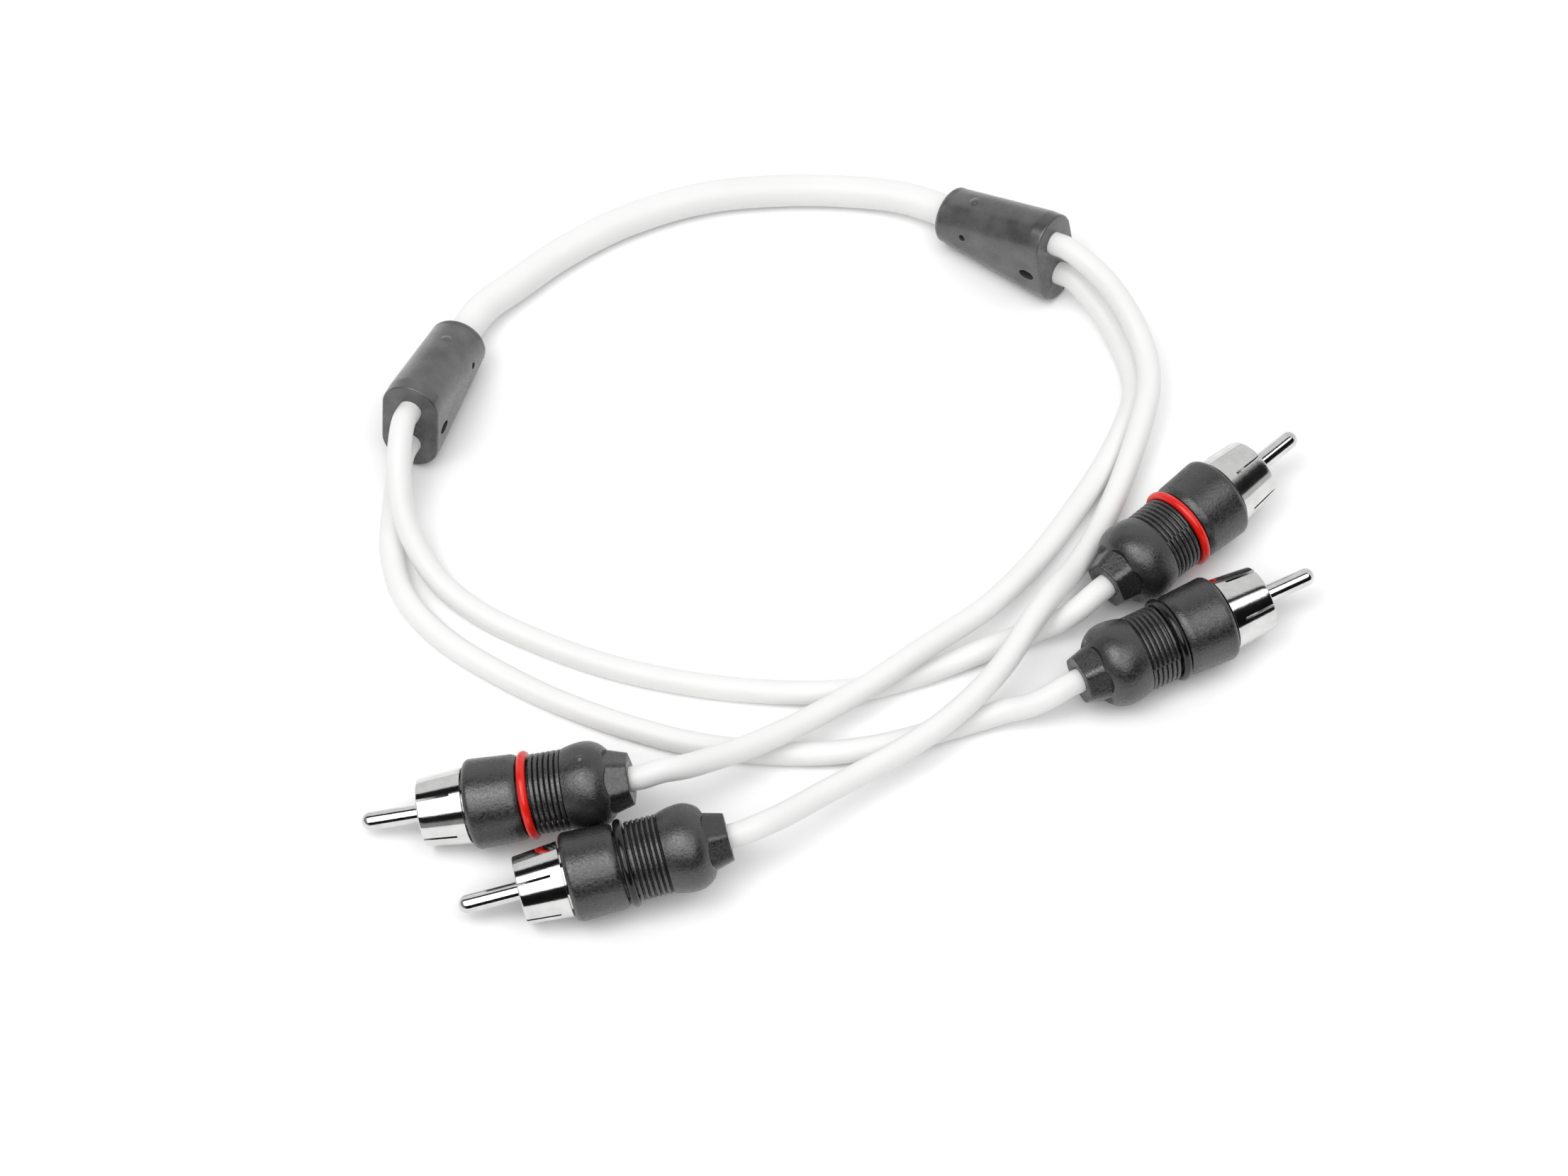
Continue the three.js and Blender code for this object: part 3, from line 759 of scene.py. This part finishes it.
def buildSplitter(name, lie, local):
    s = sleeve
    angle = np.linspace(0, turn, s["columns"], endpoint=False)[None, :]
    rear = [[s["radius"] - s["rear"] * (1 - math.sin(a)), s["rear"] * (1 - math.cos(a))] for a in np.linspace(0, math.pi / 2, 8)]
    front = [
        [s["radius"] - s["front"] * (1 - math.cos(a)), s["length"] - s["front"] * (1 - math.sin(a))]
        for a in np.linspace(0, math.pi / 2, 7)
    ]
    middle = [[s["radius"], along] for along in np.linspace(s["rear"] + 0.25, s["length"] - s["front"] - 0.25, 84)]
    profile = np.array([[0, 0]] + rear + middle + front + [[0, s["length"]]])
    radius, along = profile[:, :1] + 0 * angle, profile[:, 1:] + 0 * angle
    share = np.clip((along - s["taperStart"]) / (s["taperEnd"] - s["taperStart"]), 0, 1)
    spread = s["leadSpacing"] / 2 * share
    high = radius * np.cos(angle)
    lift = np.clip(high / 0.35, -1, 1) * (radius > 0)
    nub = s["nub"]
    mound = np.exp(-(((along - nub["along"]) ** 2 + (radius * np.sin(angle)) ** 2) / nub["radius"] ** 2) ** 2)
    high = high + lift * spread + mound * (np.cos(angle) > 0) * nub["height"] * (radius > 5)
    points = onSplitter(local, radius * np.sin(angle), along, high)
    piece = meshPiece(name + "_moulded_splitter", points, gridFaces(len(profile), s["columns"]), "dark_rubber")
    half = s["leadSpacing"] / 2
    tools = [cutter(local, (0, 0), s["trunkHole"], -1, s["trunkDepth"], True)]
    for level in (-half, half):
        tools.append(cutter(local, (0, level), s["leadHole"], s["length"] - s["leadDepth"], s["length"] + 1, True))
    face = lie["holesOn"] * s["radius"]
    for hole in (s["pinHole"], s["ovalHole"]):
        depth = [face - lie["holesOn"] * hole["depth"], face + lie["holesOn"]]
        tools.append(cutter(local, (hole["along"], hole["up"]), hole["radius"], *depth, False, hole["stretch"]))
    for tool in tools:
        change = piece.modifiers.new("hole", "BOOLEAN")
        change.operation = "DIFFERENCE"
        change.solver = "EXACT"
        change.object = tool
    bpy.context.view_layer.update()
    shown = piece.evaluated_get(bpy.context.evaluated_depsgraph_get())
    mesh = bpy.data.meshes.new_from_object(shown)
    piece.modifiers.clear()
    piece.data = mesh
    mesh.materials.clear()
    mesh.materials.append(finishes["sleeve_rubber"])
    mesh.polygons.foreach_set("use_smooth", np.ones(len(mesh.polygons), bool))
    mesh.set_sharp_from_angle(angle=math.radians(30))
    for tool in tools:
        bpy.data.objects.remove(tool)
    return piece


splitterFrames = {name: splitterFrame(lie) for name, lie in splitters.items()}

# Cords: their free points in layout millimetres, from the splitter outwards
cords = {
    "trunkDiameter": 6,
    "leadDiameter": 4.3,
    "trunkInsertion": 8,
    "leadInsertion": 7.5,
    "leadInBoot": 11.4,
    "straightRun": 3,
    "neckRun": 2,
}
trunkPoints = [
    [-54.9, 58.8, 4.2],
    [-49.9, 63.8, 3.6],
    [-40.8, 72, 3.2],
    [-29.3, 79.4, 3.1],
    [-15.2, 84.7, 3.1],
    [0.1, 86.5, 3.1],
    [13, 86.1, 3.2],
    [22, 84.2, 4],
]
leadPoints = {
    "right_black": [
        [54.9, 62, 13.7],
        [58.6, 58.6, 12.4],
        [61.9, 54.4, 10.4],
        [64.4, 49.6, 8.6],
        [65.9, 44.4, 7.3],
        [66, 38.6, 6.8],
        [64.6, 32.4, 6.2],
        [62.3, 25.2, 4.9],
        [60.2, 19.6, 3.8],
        [57.2, 12.4, 3.4],
        [54.2, 5.8, 4.2],
        [50.8, -0.8, 6.3],
        [47.2, -6.8, 8.9],
        [43, -13.5, 9.2],
        [37.6, -22, 8.2],
        [29.7, -30.7, 7.5],
        [22, -37, 7.4],
        [13.2, -43.2, 8.1],
        [6.4, -48.2, 9.5],
        [-0.4, -53.6, 11.4],
        [-4.4, -56.2, 12.3],
    ],
    "right_red": [
        [55.6, 61, 5.4],
        [58.4, 57.6, 4],
        [61.2, 52.4, 2.8],
        [63.3, 46, 2.3],
        [63.6, 40.1, 2.2],
        [61.5, 33.2, 2.2],
        [57.4, 24.4, 2.2],
        [52, 15.2, 2.2],
        [45.1, 4.6, 2.8],
        [35.8, -7.3, 5.2],
        [24.5, -17, 6.9],
        [15.5, -24.1, 7],
        [4.5, -31.5, 7],
        [-5.6, -38, 8.8],
        [-12.6, -42.2, 11.1],
        [-17, -44.7, 12.8],
        [-21, -46.1, 13.8],
    ],
    "left_red": [
        [-68.4, 20.8, 13.2],
        [-68.3, 16.2, 11.2],
        [-67.6, 10.9, 8.3],
        [-65.3, 5.5, 5.4],
        [-60.8, -0.8, 2.9],
        [-53.5, -6.9, 2.2],
        [-42.2, -13.1, 2.2],
        [-28.7, -18.4, 2.2],
        [-13.1, -21.9, 2.2],
        [2.4, -23.2, 2.2],
        [13.4, -22.5, 2.2],
        [24.1, -19.3, 2.2],
        [35.8, -14.2, 2.2],
        [42.4, -11.4, 2.5],
        [45.4, -10.4, 3.2],
        [48.4, -10, 4.6],
        [51.6, -8.8, 6.6],
    ],
    "left_black": [
        [-69.2, 20, 4.8],
        [-69.8, 14.2, 3],
        [-69.9, 6.6, 2.3],
        [-67.2, -3, 2.2],
        [-60.5, -11.5, 2.2],
        [-49.8, -19.3, 2.2],
        [-38.5, -25.5, 2.2],
        [-25.2, -30.9, 2.2],
        [-13, -34.2, 2.2],
        [4.5, -35.7, 2.2],
        [15.5, -34.4, 2.2],
        [24.4, -31.9, 2.2],
        [34.5, -28.8, 2.7],
        [38.8, -27.8, 3.7],
        [42.5, -27.8, 5.2],
        [46, -27, 6.9],
    ],
}
leadLevels = {"left_red": 1, "left_black": -1, "right_red": -1, "right_black": 1}


def curveThrough(points, spacing=1.0):
    # A smooth curve whose speed between two points follows the square root of their distance.
    points = np.array(points, float)
    ends = [2 * points[0] - points[1], *points, 2 * points[-1] - points[-2]]
    pieces = []
    for a, b, c, d in zip(ends, ends[1:], ends[2:], ends[3:]):
        gaps = [max(np.linalg.norm(q - p), 1e-9) ** 0.5 for p, q in ((a, b), (b, c), (c, d))]
        t0, t1 = 0, gaps[1]
        out = (b - a) / gaps[0] - (c - a) / (gaps[0] + gaps[1]) + (c - b) / gaps[1]
        into = (c - b) / gaps[1] - (d - b) / (gaps[1] + gaps[2]) + (d - c) / gaps[2]
        count = max(4, int(np.linalg.norm(c - b) / spacing))
        t = np.linspace(t0, 1, count, endpoint=False)[:, None]
        m0, m1 = out * t1, into * t1
        pieces.append(
            (2 * t**3 - 3 * t**2 + 1) * b
            + (t**3 - 2 * t**2 + t) * m0
            + (3 * t**2 - 2 * t**3) * c
            + (t**3 - t**2) * m1
        )
    return np.concatenate([*pieces, points[-1:]])


def buildCord(name, node, diameter, path, exit_):
    # A round section carried along the curve: its side stays level, so it never twists.
    line = curveThrough(path)
    along = np.gradient(line, axis=0)
    along /= np.linalg.norm(along, axis=1, keepdims=True)
    side = np.cross(along, [0, 0, 1])
    side /= np.linalg.norm(side, axis=1, keepdims=True)
    up = np.cross(side, along)
    columns = 40
    angle = np.linspace(0, turn, columns, endpoint=False)[None, :, None]
    rim = 0.3
    steps = [0, 0, *range(len(line)), len(line) - 1, len(line) - 1]
    line, along, side, up = line[steps], along[steps], side[steps], up[steps]
    radius = np.full(len(steps), diameter / 2)
    radius[[0, -1]] = 0
    radius[[1, -2]] = diameter / 2 - rim
    line[2:-2][0] += along[0] * rim
    line[2:-2][-1] -= along[-1] * rim
    section = side[:, None] * np.cos(angle) + up[:, None] * np.sin(angle)
    points = place(line[:, None] + radius[:, None, None] * section)
    piece = meshPiece(name, points, gridFaces(len(steps), columns), "white_jacket", 50)
    standIn(piece, "white_jacket", node)
    return piece


def onSleeve(local, along, high):
    return local["origin"] + along * local["axis"] + high * local["up"]


left, right = splitterFrames["left"], splitterFrames["right"]
runs = [cords["trunkInsertion"], 0, -cords["straightRun"]]
trunkPath = [onSleeve(left, run, 0) for run in runs] + trunkPoints + [onSleeve(right, run, 0) for run in runs[::-1]]
buildCord("trunk_jacket", "trunk_cord", cords["trunkDiameter"], trunkPath, onSleeve(left, 0, 0))
for name, level in leadLevels.items():
    local = splitterFrames[name.split("_")[0]]
    plug = plugFrames[name]
    high = sleeve["leadSpacing"] / 2 * level
    outwards = [-cords["leadInsertion"], 0, cords["straightRun"]]
    path = [onSleeve(local, sleeve["length"] + out, high) for out in outwards]
    path += leadPoints[name]
    path += [plug["origin"] + (bootEnd + inward) * plug["axis"] for inward in (-cords["neckRun"], 0, cords["leadInBoot"])]
    buildCord(name + "_jacket", name + "_lead", cords["leadDiameter"], path, onSleeve(local, sleeve["length"], high))
print("cords laid")

for name, lie in plugs.items():
    local = plugFrames[name]
    standIn(buildBoot(name, lie, local), "dark_rubber", name + "_boot")
    standIn(buildShell(name, lie, local), "nickel", name + "_shell")
    standIn(buildPin(name, local), "nickel", name + "_pin")
    standIn(buildBush(name, local), "natural_plastic", name + "_insulator")
    standIn(buildRing(name, lie["colour"], local), lie["colour"] + "_ring", name + "_ring")
print("plugs made")

for name, lie in splitters.items():
    standIn(buildSplitter(name, lie, splitterFrames[name]), "dark_rubber", name + "_splitter")
print("splitters made")

# Pale floor
floor = meshPiece("floor", np.array([[-3, -3, 0], [3, -3, 0], [3, 3, 0], [-3, 3, 0]], float), np.array([[0, 1, 2, 3]]), "white_jacket", merge=False)
floorMaterial, floorFinish = newMaterial("paleFloor")
floorPlace = floorFinish.node("TexCoord", output=3)
floorCloud = floorFinish.noise(floorPlace, 6, 2.0)
floorFinish.surface(
    {
        "Base Color": floorFinish.between(floorCloud, (0.95, 0.95, 0.95, 1), (0.97, 0.97, 0.97, 1)),
        "Roughness": 0.7,
        "Specular IOR Level": 0.2,
    }
)
floor.data.materials[0] = floorMaterial

# Studio: a soft box overhead, a small key light in it, a pale wall behind, a low pale card at the right,
# a dim left, and darkness elsewhere. Directions are places on a ceiling one unit up: x / z and y / z.
studio = {
    "box": {"left": -1.25, "right": 0.86, "near": -1.32, "far": 0.25, "glow": 2.25},
    "wall": {"edge": 0.5, "slope": -0.3, "glow": 0.84},
    "card": {"spread": 0.36, "top": 0.32, "glow": 0.6},
    "leftGlow": 0.3,
    "dark": 0.006,
    "softness": 12.0,
    "key": {"at": [-0.36, -0.21], "height": 1.6, "size": 0.62, "glow": 4},
}
world = bpy.data.worlds.new("studio")
bpy.context.scene.world = world
world.use_nodes = True
sky = Finish(world.node_tree)
direction = sky.node("TexCoord", output=0)
split = sky.node("SeparateXYZ", {}, {0: direction})
across, beyond, upwards = (Sum(sky.tree, split.socket.node.outputs[i]) for i in range(3))


def within(*edges):
    # 1 where every edge is positive, with soft borders.
    share = (upwards * 60.0).clamped()
    for edge in edges:
        share = share * (edge * studio["softness"]).clamped()
    return share


box, wall, card = studio["box"], studio["wall"], studio["card"]
lights = [
    within(
        across - upwards * box["left"], upwards * box["right"] - across,
        beyond - upwards * box["near"], upwards * box["far"] - beyond,
    ) * box["glow"],
    within(beyond - upwards * wall["edge"] - across * wall["slope"]) * wall["glow"],
    within(
        across * card["spread"] - beyond, across * card["spread"] + beyond, across * card["top"] - upwards
    ) * card["glow"],
    within(upwards * box["left"] - across) * studio["leftGlow"],
]
level = lights[0] + studio["dark"]
for light in lights[1:]:
    level = level.maths("MAXIMUM", level, light)
background = sky.node("Background", {}, {0: (1, 1, 1, 1), 1: level})
sky.node("OutputWorld", {}, {0: background})

key = studio["key"]
keyLight = bpy.data.objects.new("keyLight", bpy.data.lights.new("keyLight", "AREA"))
bpy.context.scene.collection.objects.link(keyLight)
keyLight.data.shape = "DISK"
keyLight.data.size = key["size"]
keyLight.data.energy = key["glow"] * math.pi * math.pi * key["size"] ** 2 / 4
keyLight.location = [spot * key["height"] for spot in (*key["at"], 1)]
keyLight.rotation_euler = (-math.atan(key["at"][1]), math.atan(key["at"][0]), 0)
print("studio lit")
